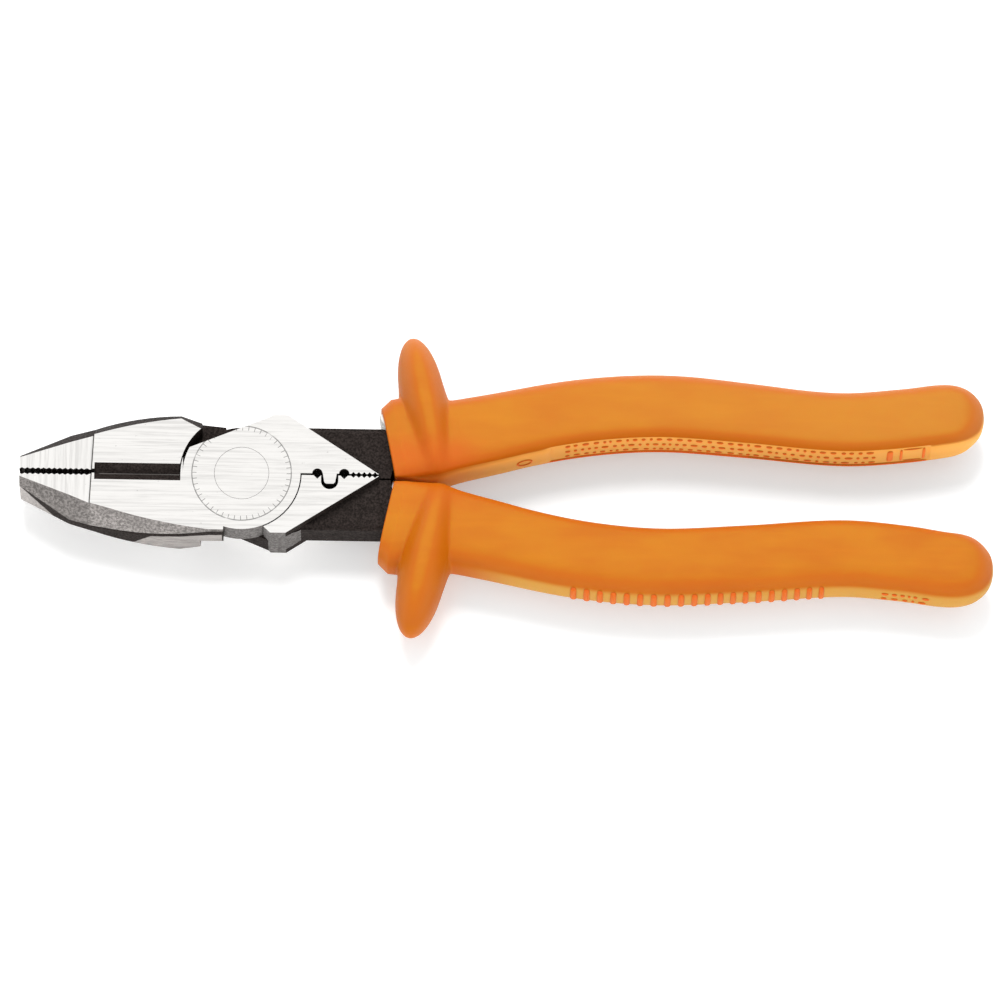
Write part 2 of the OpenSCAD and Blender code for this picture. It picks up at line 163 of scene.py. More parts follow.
def ground_steel(name, along_x, marks=None):
    """Bright ground steel with fine wheel lines along X, or across it on the nose.
    marks is a socket maker for the share of dark marks in the face, from 0 to 1. On the lap these are engraved
    marks; on the nose it is a painted shadow line along the step."""
    material, tree, shader = new_material(name)
    n = Nodes(tree)
    stretch = (40, 1, 1) if along_x else (1, 30, 1)
    lines = n.noise(1.5, stretch, detail=5, rough=0.75)
    broad = n.noise(0.2, (5, 1, 1) if along_x else (1, 3, 1), detail=2)
    pits = n.noise(1.1, (2, 1, 1), detail=2)
    base = n.mix(n.ramp(lines, 0.36, 0.56), grey(0.80), grey(0.97))
    base = n.mix(n.ramp(broad, 0.35, 0.75, 0.0, 0.4), base, grey(0.90))
    base = n.mix(n.ramp(pits, 0.7, 0.78, 0.0, 0.5), base, grey(0.35))
    metallic, roughness = 1.0, n.ramp(lines, 0.3, 0.7, 0.42, 0.3)
    if marks is not None:
        dark = marks(n)
        base = n.mix(dark, base, (0.03, 0.027, 0.025, 1))
        metallic = n.math("SUBTRACT", 1.0, n.math("MULTIPLY", dark, 0.9))
        roughness = n.math("MULTIPLY_ADD", dark, 0.3, roughness)
    n.plug(shader.inputs["Metallic"], metallic)
    n.plug(shader.inputs["Base Color"], base)
    n.plug(shader.inputs["Roughness"], roughness)
    n.plug(shader.inputs["Normal"], n.bump(lines, 0.01, 0.5))
    return material


def step_shadow(n):
    """A painted shadow: the dark line where the nose's lower face meets the step, which slants across both jaws."""
    side = n.math("SIGN", n.math("SUBTRACT", n.z, MID_Z * MM))
    slant = n.math("MULTIPLY", n.math("MULTIPLY", n.y, STEP_SLANT), side)
    off = n.math("SUBTRACT", n.math("SUBTRACT", STEP_X * MM, n.x), n.math("MULTIPLY", slant, -1.0))
    return n.ramp(off, 0.18 * MM, 0.48 * MM, 1.0, 0.0)


def step_line(y, rise):
    return STEP_X + STEP_SLANT * y * math.copysign(1, rise)


def dial_marks(n):
    """A plain ring with short ticks round the rivet, cut lightly into the front and back laps."""
    radius = n.math("SQRT", n.math("ADD", n.math("POWER", n.x, 2.0), n.math("POWER", n.y, 2.0)))
    turn = n.math("ARCTAN2", n.y, n.x)
    line = n.ramp(n.math("ABSOLUTE", n.math("SUBTRACT", radius, RING_MARK_R * MM)), 0.08 * MM, 0.2 * MM, 1.0, 0.0)
    beat = n.math("COSINE", n.math("MULTIPLY", turn, float(RING_TICKS)))
    tick = n.ramp(beat, 0.90, 0.97)
    band = n.math("ABSOLUTE", n.math("SUBTRACT", radius, (RING_MARK_R - RING_TICK_LEN / 2) * MM))
    band = n.ramp(band, RING_TICK_LEN / 2 * MM, (RING_TICK_LEN / 2 + 0.15) * MM, 1.0, 0.0)
    worn = n.ramp(n.noise(0.35, detail=3), 0.3, 0.5, 0.45, 1.0)
    marks = n.math("MAXIMUM", line, n.math("MULTIPLY", tick, band))
    return n.math("MULTIPLY", marks, n.math("MULTIPLY", worn, 0.75))


def satin_steel(name, tone):
    """Grit-blasted steel: even grey with sparkling grains."""
    material, tree, shader = new_material(name)
    n = Nodes(tree)
    grains = n.noise(1.5, detail=3, rough=0.7)
    patches = n.noise(0.22, (2, 1, 1), detail=3)
    base = n.mix(n.ramp(grains, 0.38, 0.64), warm(tone * 0.62), warm(tone * 1.3))
    base = n.mix(n.ramp(patches, 0.35, 0.7, 0.0, 0.35), base, warm(tone * 0.65))
    shader.inputs["Metallic"].default_value = 0.9
    n.plug(shader.inputs["Base Color"], base)
    n.plug(shader.inputs["Roughness"], n.ramp(grains, 0.3, 0.7, 0.62, 0.42))
    n.plug(shader.inputs["Normal"], n.bump(grains, 0.05, 0.8))
    return material


def black_steel(name, flats=None):
    """Black oxide on forged steel, rubbed a little brighter on its high spots.
    flats is a socket maker for the share of bright ground metal, from 0 to 1."""
    material, tree, shader = new_material(name)
    n = Nodes(tree)
    grain = n.noise(2.2, detail=4, rough=0.65)
    scale_marks = n.noise(0.5, (2.5, 1, 1), detail=3)
    base = n.mix(n.ramp(grain, 0.35, 0.72), (0.012, 0.0095, 0.0085, 1), (0.042, 0.033, 0.03, 1))
    base = n.mix(n.ramp(scale_marks, 0.55, 0.8, 0.0, 0.5), base, (0.05, 0.041, 0.037, 1))
    metallic = 0.0
    roughness = n.ramp(grain, 0.3, 0.7, 0.7, 0.5)
    shader.inputs["Specular IOR Level"].default_value = 0.03
    if flats is not None:
        bright = flats(n)
        lines = n.noise(3.0, (30, 1, 1), detail=3)
        metal = n.mix(n.ramp(lines, 0.3, 0.7), warm(0.27), warm(0.52))
        base = n.mix(bright, base, metal)
        metallic = bright
        roughness = n.math("MULTIPLY_ADD", bright, -0.1, roughness)
    n.plug(shader.inputs["Metallic"], metallic)
    n.plug(shader.inputs["Base Color"], base)
    n.plug(shader.inputs["Roughness"], roughness)
    n.plug(shader.inputs["Normal"], n.bump(grain, 0.05, 0.55, n.bump(scale_marks, 0.12, 0.5)))
    return material


def jaw_side_flats(side, end_x):
    """Ground flats low on a jaw's black side: one at the nose and one that runs back to end_x.
    side is 1 where the flats are towards -Z, and -1 for the jaw that is the same shape turned over."""

    def share(n):
        ragged = n.math("MULTIPLY", n.math("SUBTRACT", n.noise(0.8, (3, 1, 1)), 0.5), 0.9 * MM)
        rise = n.math("MULTIPLY", n.math("SUBTRACT", n.z, MID_Z * MM), side)
        rise = n.math("ADD", rise, ragged)
        nose_line = n.ramp(n.x, NOSE_X * MM, -43.5 * MM, 4.3 * MM, -6.8 * MM, smooth=False)
        nose = n.ramp(n.math("SUBTRACT", nose_line, rise), -0.3 * MM, 0.3 * MM)
        nose = n.math("MULTIPLY", nose, n.ramp(n.x, -41 * MM, -40 * MM, 1.0, 0.0))
        steep = n.ramp(n.x, -29 * MM, -20 * MM, -8.5 * MM, 4.8 * MM, smooth=False)
        shallow = n.ramp(n.x, -22.6 * MM, -8 * MM, 0.95 * MM, 4.6 * MM, smooth=False)
        back_line = n.math("MINIMUM", steep, shallow)
        back = n.ramp(n.math("SUBTRACT", back_line, rise), -0.3 * MM, 0.3 * MM)
        back = n.math("MULTIPLY", back, n.ramp(n.x, -30 * MM, -29 * MM))
        back = n.math("MULTIPLY", back, n.ramp(n.x, (end_x - 0.3) * MM, end_x * MM, 1.0, 0.0))
        return n.math("MAXIMUM", nose, back)

    return share


def knife_line(n):
    """The fine bright line where the two knives meet."""
    off = n.math("ABSOLUTE", n.math("ADD", n.y, 0.2 * MM))
    return n.math("MULTIPLY", n.ramp(off, 0.08 * MM, 0.24 * MM, 0.35, 0.0), n.ramp(n.x, -36 * MM, -35 * MM))


# ---------------------------------------------------------------- vinyl and underlayer


# painted light: the upper handle is made paler and yellower towards its end, where more light falls on it
PALE_LIT_VINYL = (0.53, 0.235, 0.028, 1)  # the upper handle tends to this tone towards its end
# painted shade: a redder tone between the two collars, where the handles shade each other and throw red light on
# each other
CROTCH_SHADE_VINYL = (0.56, 0.100, 0.005, 1)  # the redder tone between the two collars


def orange_vinyl(name, low, high, slope_shade, upright_sheen_tone, inner_lit_tone):
    """Moulded vinyl, faintly mottled between two tones, with painted shade deepening it on its slopes and a painted
    sheen making its upright sides paler.
    The last tone is painted light on the inner side of the upper handle."""
    material, tree, shader = new_material(name)
    n = Nodes(tree)
    mottle = n.noise(0.09, (2.5, 1, 1), detail=3)
    grain = n.noise(2.4, detail=3, rough=0.6)
    flow = n.noise(0.5, (9, 1, 1), detail=2)
    base = n.mix(n.ramp(mottle, 0.3, 0.72), low, high)
    base = n.mix(n.ramp(flow, 0.45, 0.8, 0.0, 0.25), base, tuple(c * 1.1 for c in high))
    normal = n.make("ShaderNodeTexCoord").outputs["Normal"]
    facing = n.make("ShaderNodeSeparateXYZ", Vector=normal).outputs
    upward = n.math("ABSOLUTE", facing[2])
    above = n.math("GREATER_THAN", n.y, 0.0)
    # painted light on the upper handle towards its end
    pale = n.math("MULTIPLY", n.ramp(n.x, 60 * MM, 190 * MM, 0.25, 1.0, smooth=False), above)
    base = n.mix(pale, base, n.mix(0.5, base, PALE_LIT_VINYL))
    # painted shade: slopes that face away from +Z and -Z take the deeper tone
    base = n.mix(n.ramp(upward, 0.80, 0.98, 0.65, 0.0), base, slope_shade)
    # painted shade near the crotch between the two handles
    crotch_shade = n.ramp(n.math("ABSOLUTE", n.y), 5 * MM, 13 * MM, 0.7, 0.0)
    crotch_shade = n.math("MULTIPLY", crotch_shade, n.ramp(n.x, 52 * MM, 66 * MM, 1.0, 0.0))
    crotch_shade = n.math("MULTIPLY", crotch_shade, n.ramp(n.y, -2 * MM, 2 * MM, 0.35, 1.0))
    crotch_shade = n.math("MULTIPLY", crotch_shade, n.ramp(upward, 0.3, 0.6))
    base = n.mix(crotch_shade, base, CROTCH_SHADE_VINYL)
    # painted sheen and painted light: upright sides take the paler side tone, a painted reflection of the bright
    # floor; the upper handle's inner side, shaded by the other handle, takes a paler tone still as painted light
    inner_side = n.math("MULTIPLY", above, n.ramp(facing[1], -0.4, 0.0, 1.0, 0.0))
    from_mouth = n.math("MULTIPLY", inner_side, n.ramp(n.x, 38 * MM, 46 * MM))
    along = n.math("MAXIMUM", n.ramp(n.x, 54 * MM, 72 * MM), from_mouth)
    upright = n.math("MULTIPLY", n.ramp(upward, 0.12, 0.38, 1.0, 0.0), along)
    base = n.mix(upright, base, n.mix(inner_side, upright_sheen_tone, inner_lit_tone))
    # Light that bounces from the vinyl down to the floor is kept nearly neutral.
    incoming = n.make("ShaderNodeNewGeometry").outputs["Incoming"]
    from_below = n.ramp(n.make("ShaderNodeSeparateXYZ", Vector=incoming).outputs[2], -0.25, 0.0, 1.0, 0.0)
    path = n.make("ShaderNodeLightPath")
    from_afar = n.ramp(path.outputs["Ray Length"], 4 * MM, 12 * MM)
    neutral = n.math("MULTIPLY", n.math("MULTIPLY", from_below, from_afar), path.outputs["Is Diffuse Ray"])
    base = n.mix(neutral, base, grey(0.34))
    n.plug(shader.inputs["Base Color"], base)
    n.plug(shader.inputs["Roughness"], n.ramp(grain, 0.3, 0.7, 0.52, 0.42))
    n.plug(shader.inputs["Specular IOR Level"], n.ramp(upward, 0.30, 0.85, 0.06, 0.32))
    shader.inputs["Subsurface Weight"].default_value = 0.3
    shader.inputs["Subsurface Radius"].default_value = (1.0, 0.35, 0.1)
    shader.inputs["Subsurface Scale"].default_value = 1.6 * MM
    n.plug(shader.inputs["Normal"], n.bump(grain, 0.03, 0.5, n.bump(flow, 0.05, 0.4)))
    return material


def white_underlayer(name):
    material, tree, shader = new_material(name)
    n = Nodes(tree)
    grain = n.noise(2.0, detail=3)
    dust = n.noise(0.4, detail=4)
    base = n.mix(n.ramp(dust, 0.4, 0.75), (0.86, 0.85, 0.82, 1), (0.74, 0.72, 0.68, 1))
    n.plug(shader.inputs["Base Color"], base)
    n.plug(shader.inputs["Roughness"], n.ramp(grain, 0.3, 0.7, 0.6, 0.5))
    n.plug(shader.inputs["Normal"], n.bump(grain, 0.03, 0.6))
    return material


# ---------------------------------------------------------------- steel pieces

EDGE_ROUND = 0.14  # rounding of the steel's edges
BOSS_R = 14.7
STEP_X, STEP_SLANT = -37.35, 0.04
CAD_STEP = (-37.0, 0.04)
NOSE_RIDGE_SHIFT = 1.5  # draws the side ridge nearer to the front at the tip of each jaw
NECK_X, NECK_SHIFT = (35.5, 37.5), 1.1  # the tang's neck, drawn up to the grip's mouth
RING_MARK_R, RING_TICKS, RING_TICK_LEN = 12.4, 48, 1.1
FINE_ZONE_Y = 3.3  # half-width of the mouth and the knives, which keep crisp edges

STEEL = {
    "ground": ground_steel("ground_steel_face", True),
    "lap": ground_steel("ground_steel_lap", True, dial_marks),
    # the nose's face carries the painted shadow line along the step
    "nose": ground_steel("ground_steel_nose", False, step_shadow),
    "satin": satin_steel("blasted_steel_bevel", 0.31),
    "wall": satin_steel("machined_steel_wall", 0.18),
    "black": black_steel("black_oxide_steel"),
    # The cut finish is black oxide, used also as painted shade on the gap walls of the mouth and knives.
    "cut": black_steel("black_gap_steel_and_shade", knife_line),
    "lower_side": black_steel("lower_jaw_side_steel", jaw_side_flats(1, -4.5)),
    "upper_side": black_steel("upper_jaw_side_steel", jaw_side_flats(-1, -10.5)),
}
FINISHES = list(STEEL)


def finish_of(normal, centre, front_side, side_finish):
    """The finish of a steel face. front_side is 1 for the half whose lap is in front. Walls in the narrow gaps and
    the boss wall on the +Y side are made black as painted shade.
    """
    x, y = centre.x / MM, centre.y / MM
    rise = centre.z / MM - MID_Z
    radius = math.hypot(x, y)
    flat = abs(normal.z) > 0.995
    upright = abs(normal.z) < 0.1
    if flat and abs(rise) > HEAD_HALF - 0.2:
        return "lap" if rise * front_side > 0 else "ground"
    if flat and abs(rise) > HEAD_HALF - 1.5 and x < -30:
        return "nose"
    # Faces in the mouth and along the knives get black oxide steel, partly their own finish and partly painted shade
    # for the narrow gaps between the jaws.
    if x < -12 and abs(y) < FINE_ZONE_Y:
        return "cut"
    outward = normal.x * x + normal.y * y > 0
    # The boss wall keeps machined steel only on the -Y side; on the +Y side it gets black steel below as painted
    # shade.
    if upright and outward and abs(radius - BOSS_R) < 0.3 and -6 < x < 6.5 and y < 0:
        return "wall"
    if 4 < x < 14 and upright and outward and radius > BOSS_R + 0.3:
        return "wall"
    # Black oxide on the tang and round the rivet; the walls of the narrow gap round the boss take it as painted
    # shade.
    if x > 4 or radius < BOSS_R + 0.8:
        return "black"
    if 0.12 < abs(normal.z) < 0.99:
        return "satin" if normal.z * front_side > 0 else "black"
    return side_finish if x < -4 and normal.x < 0.7 else "black"


def steel_piece(name, node, body, front_side, side_finish):
    """A copy of a CAD steel node with merged flat faces, rounded edges and a finish for each face."""
    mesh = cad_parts[node].data.copy()
    piece = bpy.data.objects.new(name, mesh)
    bpy.context.scene.collection.objects.link(piece)
    mesh.materials.clear()
    for finish in FINISHES:
        mesh.materials.append(STEEL[finish])
    edit = bmesh.new()
    edit.from_mesh(mesh)
    bmesh.ops.remove_doubles(edit, verts=edit.verts, dist=0.002 * MM)
    bmesh.ops.dissolve_limit(
        edit, angle_limit=math.radians(0.4), verts=edit.verts, edges=edit.edges, use_dissolve_boundaries=False
    )
    for vertex in edit.verts:
        x, y, rise = vertex.co.x / MM, vertex.co.y / MM, vertex.co.z / MM - MID_Z
        if NECK_X[0] < x < NECK_X[1] and abs(y) < 5:
            vertex.co.x += NECK_SHIFT * MM
        if x < NOSE_X + 0.1 and abs(y) > 2 and 1 < rise * front_side < 5.5:
            vertex.co.z += front_side * NOSE_RIDGE_SHIFT * MM
        if abs(x - CAD_STEP[0] - CAD_STEP[1] * abs(y)) < 0.12:
            vertex.co.x = step_line(y, rise) * MM
    edit.normal_update()
    weight = edit.edges.layers.float.get("bevel_weight_edge") or edit.edges.layers.float.new(
        "bevel_weight_edge"
    )
    for face in edit.faces:
        finish = finish_of(face.normal, face.calc_center_median(), front_side, side_finish)
        face.material_index = FINISHES.index(finish)
        face.smooth = True
    for edge in edit.edges:
        turn = edge.calc_face_angle(0.0)
        edge.smooth = turn < math.radians(28)
        middle = (edge.verts[0].co + edge.verts[1].co) / 2 / MM
        fine = abs(middle.y) < FINE_ZONE_Y and middle.x < -12 or abs(middle.y) < 4.2 and 12 < middle.x < 37
        hole = middle.x**2 + middle.y**2 < (RIVET_R + 1) ** 2
        edge[weight] = 0.0 if fine or edge.smooth else 0.4 if hole else 1.0
    edit.to_mesh(mesh)
    edit.free()
    bevel = piece.modifiers.new("rounded_edges", "BEVEL")
    bevel.limit_method = "WEIGHT"
    bevel.width = EDGE_ROUND * MM
    bevel.segments = 2
    bevel.use_clamp_overlap = True
    bevel.harden_normals = True
    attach(piece, body)
    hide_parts(node)
    return piece


# ---------------------------------------------------------------- handle shape

SPINE = [  # centre line of the upper handle: distance along X, distance from the centre plane
    (34, 8.5), (62, 14.1), (84, 18.55), (104, 20.2), (126, 18.9),
    (150, 16.95), (166, 18.05), (177, 19.6), (190, 19.3),
]
FRONT_LEAN = math.radians(11.5)
LEAN_UNTIL_X = 60
MOUTH_X, COLLAR_X, COLLAR_LEN = 36.5, 39.3, 12
COLLAR_REACH = {UPPER: 12.5, LOWER: 13.1}
COLLAR_INNER, COLLAR_INNER_LEN = 1.2, 22  # extra width of the collar's inner side, and where it ends
CHAMFER_SLOPE = 0.68
TAPER_X = 47.7  # where the grip starts to narrow towards its end
GUARD_X, GUARD_REACH = {UPPER: 47.2, LOWER: 48.0}, {UPPER: 27.9, LOWER: 28.8}
GUARD_HALF_X, GUARD_FALL = {UPPER: 5.4, LOWER: 5.55}, 14.0  # half-axes of the guard's outline
OUTER_SWELL = {UPPER: (139, 30, -0.6), LOWER: (158, 60, 0.6)}  # middle, half-length and height along the outside
GUARD_STEEPEST, GUARD_WALL, GUARD_BLEND, GUARD_ROOT = 0.985, 9, 1.8, 1.6
GUARD_HALF_T, GRIP_HALF_T, GRIP_WALL = 15.5, 8.6, 3
GRIP_W_FRONT, GRIP_W_REAR, INNER_FLAT = 9.5, 8.6, 0.4
ROUND_POWER, OUTER_POWER, INNER_POWER, CAP_POWER = 2.2, 3.0, 4.0, 2.4
SEAM_HALF, SLEEVE_SEAM, LAYER_GAP = 0.25, 1.85, 0.03
CAP_LEN, SLEEVE_CAP_LEN, SLEEVE_END_X, SLEEVE_PROUD = 11.5, 5, 169, 0.6
SLEEVE_BACK = 1.1  # how far inside the mouth the sleeve starts where it does not show
GRIP_END_X = {
    UPPER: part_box("upper_grip")[1].x / MM,
    LOWER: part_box("lower_grip")[1].x / MM,
}


def mix(a, b, share):
    return a + (b - a) * min(max(share, 0.0), 1.0)


def smooth(share):
    share = min(max(share, 0.0), 1.0)
    return share * share * (3 - 2 * share)


def soft_max(a, b, k):
    return (a + b + math.sqrt((a - b) ** 2 + k * k)) / 2


def spine_slope(i):
    (ax, ay), (bx, by) = SPINE[max(i - 1, 0)], SPINE[min(i + 1, len(SPINE) - 1)]
    return (by - ay) / (bx - ax)


def spine_y(x):
    i = max(j for j in range(len(SPINE) - 1) if j == 0 or x >= SPINE[j][0])
    (ax, ay), (bx, by) = SPINE[i], SPINE[i + 1]
    h = bx - ax
    t = (x - ax) / h
    u = 1 - t
    return (
        ay * u * u * (1 + 2 * t)
        + by * t * t * (3 - 2 * t)
        + h * t * u * (spine_slope(i) * u - spine_slope(i + 1) * t)
    )


def lean(x):
    along = math.atan((spine_y(x + 1) - spine_y(x - 1)) / 2)
    return mix(FRONT_LEAN, along, (x - LEAN_UNTIL_X + 6) / 12)


def grip_w(x):
    return mix(GRIP_W_FRONT, GRIP_W_REAR, (x - TAPER_X) / (GRIP_END_X[UPPER] - TAPER_X))


def outer_body_w(x, side):
    if x < COLLAR_X + COLLAR_LEN:
        return mix(COLLAR_REACH[side], GRIP_W_FRONT, smooth((x - COLLAR_X) / COLLAR_LEN))
    return grip_w(x)


def outer_skin_w(x, side):
    """The outer width with the slow swell that tells the two handles apart."""
    middle, half_length, height = OUTER_SWELL[side]
    return outer_body_w(x, side) + height * smooth(1 - abs(x - middle) / half_length)


def inner_w(x):
    front = GRIP_W_FRONT + COLLAR_INNER
    return mix(front, grip_w(x), (x - TAPER_X) / COLLAR_INNER_LEN) - INNER_FLAT


def radius_of(angle, out, inner, half_t, power, rounding=0.0):
    """Distance from the centre line to a section's edge. angle 0 is outwards and a right angle is +Z.
    rounding takes the section from its own shape to a plain rounded one."""
    c, s = math.cos(angle), math.sin(angle)
    a = out if c > 0 else inner
    power = mix(power if c > 0 else INNER_POWER, ROUND_POWER, rounding)
    return (abs(c / a) ** power + abs(s / half_t) ** power) ** (-1 / power)


def guard_radius(x, angle, side):
    """The guard's rim at this angle, falling away along half an ellipse on both sides of its middle plane."""
    rise = (GUARD_HALF_T - GRIP_HALF_T) * (1 + math.cos(angle)) / 2
    rim = radius_of(angle, GUARD_REACH[side], inner_w(x) - 0.5, GRIP_HALF_T + rise, ROUND_POWER)
    off = abs(x - GUARD_X[side])
    share = min(off / GUARD_HALF_X[side], GUARD_STEEPEST)
    drop = GUARD_FALL * (1 - math.sqrt(1 - share * share))
    return rim - drop - max(off - GUARD_STEEPEST * GUARD_HALF_X[side], 0) * GUARD_WALL


def to_frame(x, reach, height, side):
    """A point of the slice at x, in metres in the row frame. side is UPPER or LOWER."""
    a = lean(x)
    y = spine_y(x) + reach * math.cos(a)
    return Vector((x - reach * math.sin(a), side * y, MID_Z + height)) * MM


# ---------------------------------------------------------------- grip mesh

RING = 56
GUARD_ZONE = {side: half + GUARD_ROOT for side, half in GUARD_HALF_X.items()}
SEAM = {UPPER: 0.25, LOWER: 0.9}  # where each grip is cut flat, measured from the centre plane
PANEL_X = (75.0, 170.5)  # the recessed panel on the inner side of the upper grip
PANEL_HALF, PANEL_DEPTH, PANEL_EDGE = 5.7, 0.7, 0.4
MARK_ROOT, PIP_LIFT = 0.35, 0.42  # how far the raised marks go under and over the surface
RING_MARK_STEPS = 16
RIB_X, RIB_COUNT, RIB_PITCH, RIB_WIDTH, RIB_LIFT = 84.5, 20, 3.15, 1.6, 0.55


def grip_angles(side):
    """Angles round a section, with extra ones along the two edges of the upper grip's panel."""
    angles = [2 * math.pi * i / RING for i in range(RING)]
    if side == UPPER:
        reach = (GRIP_W_FRONT + GRIP_W_REAR) / 2 - INNER_FLAT
        for height in (PANEL_HALF - PANEL_EDGE, PANEL_HALF, PANEL_HALF + PANEL_EDGE):
            off = math.atan2(height, reach * 0.955)
            angles += [math.pi - off, math.pi + off]
    return sorted(angles)


def spread(a, b, pitch):
    count = max(1, math.ceil((b - a) / pitch))
    return [a + (b - a) * i / count for i in range(count)]


def rounded_end(reach_k, start_x, length, count):
    """Places along a rounded end and the share of the section left there."""
    for i in range(1, count + 1):
        a = math.pi / 2 * i / (count + 0.35)
        yield start_x + length * math.sin(a) ** (2 / CAP_POWER), reach_k * math.cos(a) ** (2 / CAP_POWER)


def grip_rings(side):
    """(x, share of the section, inset of the section) from the mouth to the end."""
    end = GRIP_END_X[side]
    cap_x = end - CAP_LEN
    guard, half = GUARD_X[side], GUARD_HALF_X[side]
    guard_to = guard + GUARD_ZONE[side]
    xs = spread(COLLAR_X + 0.8, guard - half, 0.4)
    xs += [guard + half * math.sin(math.radians(a)) for a in range(-90, 91, 9)]
    xs += spread(guard + half + 0.4, guard_to, 0.4)
    xs += spread(guard_to, LEAN_UNTIL_X + 6, 1.5)
    xs += spread(LEAN_UNTIL_X + 6, cap_x, 3.0)
    xs.append(cap_x)
    for edge in (PANEL_X[0] - 0.1, PANEL_X[0] + PANEL_EDGE, PANEL_X[1] - PANEL_EDGE, PANEL_X[1] + 0.1):
        xs = [x for x in xs if abs(x - edge) > 1.0 or x == cap_x] + [edge, edge - 0.45, edge + 0.45]
    xs.sort()
    return [(x, 1.0) for x in xs] + list(rounded_end(1.0, cap_x, CAP_LEN, 9))


def on_section(x, angle, radius, side, seam):
    reach, height = radius * math.cos(angle), radius * math.sin(angle)
    lowest = (seam - spine_y(x)) / math.cos(lean(x))
    return to_frame(x, max(reach, lowest), height, side)


def grip_point(x, angle, k, side, chamfer=0.0):
    """A point of a grip's outside. k scales the section in the rounded end, and the chamfer is only on
    the outer side and the two broad sides."""
    out, inner = (outer_skin_w(x, side) - chamfer) * k, inner_w(x) * k
    half_t = (GRIP_HALF_T - chamfer / 3) * k
    radius = radius_of(angle, out, inner, half_t, OUTER_POWER, smooth((1 - k) / 0.4))
    if abs(x - GUARD_X[side]) < GUARD_ZONE[side]:
        radius = soft_max(radius, guard_radius(x, angle, side), GUARD_BLEND)
    if side == UPPER and math.cos(angle) < 0:
        radius -= panel_depth(x, radius * math.sin(angle))
    return on_section(x, angle, radius, side, SEAM[side])


def panel_depth(x, height):
    """Depth of the recessed panel on the upper grip's inner side."""
    along = smooth((x - PANEL_X[0]) / PANEL_EDGE) * smooth((PANEL_X[1] - x) / PANEL_EDGE)
    across = smooth((PANEL_HALF - abs(height)) / PANEL_EDGE)
    return PANEL_DEPTH * along * across


def cavity_point(x, angle, k, side):
    room = LAYER_GAP - GRIP_WALL
    out, inner = (outer_body_w(x, side) + room) * k, (grip_w(x) - INNER_FLAT + room) * k
    radius = radius_of(angle, out, inner, (GRIP_HALF_T + room) * k, OUTER_POWER)
    return on_section(x, angle, radius, side, SLEEVE_SEAM - LAYER_GAP)


def add_ring(edit, points):
    return [edit.verts.new(p) for p in points]


def crease_ring(edit, ring, amount):
    layer = edit.edges.layers.float.get("crease_edge") or edit.edges.layers.float.new("crease_edge")
    for a, b in zip(ring, ring[1:] + ring[:1]):
        edit.edges.get((a, b))[layer] = amount


def bridge(edit, first, second, material=0):
    n = len(first)
    for i in range(n):
        j = (i + 1) % n
        face = edit.faces.new((first[i], first[j], second[j], second[i]))
        face.material_index = material
        face.smooth = True


def close_ring(edit, ring, centre):
    """Closes a ring with two smaller rings and a middle point."""
    for share in (0.6, 0.25):
        inner = add_ring(edit, [centre + (v.co - centre) * share for v in ring])
        bridge(edit, ring, inner)
        ring = inner
    middle = edit.verts.new(centre)
    n = len(ring)
    for i in range(n):
        edit.faces.new((ring[i], ring[(i + 1) % n], middle)).smooth = True


def surface_point(x, height, lift, side, outwards):
    """A point over a handle's inner or outer side, lift millimetres above the smooth surface."""
    if outwards:
        reach = outer_skin_w(x, side) * (1 - abs(height / GRIP_HALF_T) ** OUTER_POWER) ** (1 / OUTER_POWER)
        reach += lift
    else:
        reach = inner_w(x) * (1 - abs(height / GRIP_HALF_T) ** INNER_POWER) ** (1 / INNER_POWER)
        reach = panel_depth(x, height) - reach - lift
    return to_frame(x, reach, height, side)


def raised_bar(edit, x, heights, width, lift, side, outwards):
    """A raised bar of the given width along X that follows the surface through the given heights."""
    rings = []
    for height in heights:
        corners = ((-1, -MARK_ROOT), (1, -MARK_ROOT), (1, lift), (-1, lift))
        points = [surface_point(x + s * width / 2, height, up, side, outwards) for s, up in corners]
        rings.append(add_ring(edit, points))
    for first, second in zip(rings, rings[1:]):
        bridge(edit, first, second, 1)
    for ring in (rings[0], rings[-1]):
        face = edit.faces.new(ring)
        face.material_index = 1
        face.smooth = True


def raised_ring(edit, x, radius, width, lift, side):
    """A raised plain ring on the inner side."""
    rings = []
    for i in range(RING_MARK_STEPS):
        a = 2 * math.pi * i / RING_MARK_STEPS
        points = []
        for r, up in ((radius, -MARK_ROOT), (radius + width, -MARK_ROOT), (radius + width, lift), (radius, lift)):
            points.append(surface_point(x + r * math.cos(a), r * math.sin(a), up, side, False))
        rings.append(add_ring(edit, points))
    for first, second in zip(rings, rings[1:] + rings[:1]):
        bridge(edit, first, second, 1)


def pip_row(edit, dice, span, height, size, side, outwards):
    """A row of raised pips of uneven length between two places along X."""
    x = span[0]
    while x < span[1]:
        length = dice.uniform(0.9, 2.3)
        half = size / 2
        raised_bar(edit, x + length / 2, (height - half, height + half), length, PIP_LIFT, side, outwards)
        x += length + dice.uniform(0.45, 0.9)


def shade_panel_edge(edit):
    """Painted shade: deeper orange along the panel's back edge, where the recess's edge is in shade."""
    for face in edit.faces:
        centre = face.calc_center_median() / MM
        below = centre.z - MID_Z + PANEL_HALF
        inside = PANEL_X[0] < centre.x < PANEL_X[1] and centre.y < spine_y(centre.x)
        if inside and abs(below) < PANEL_EDGE + 0.05:
            face.material_index = 1


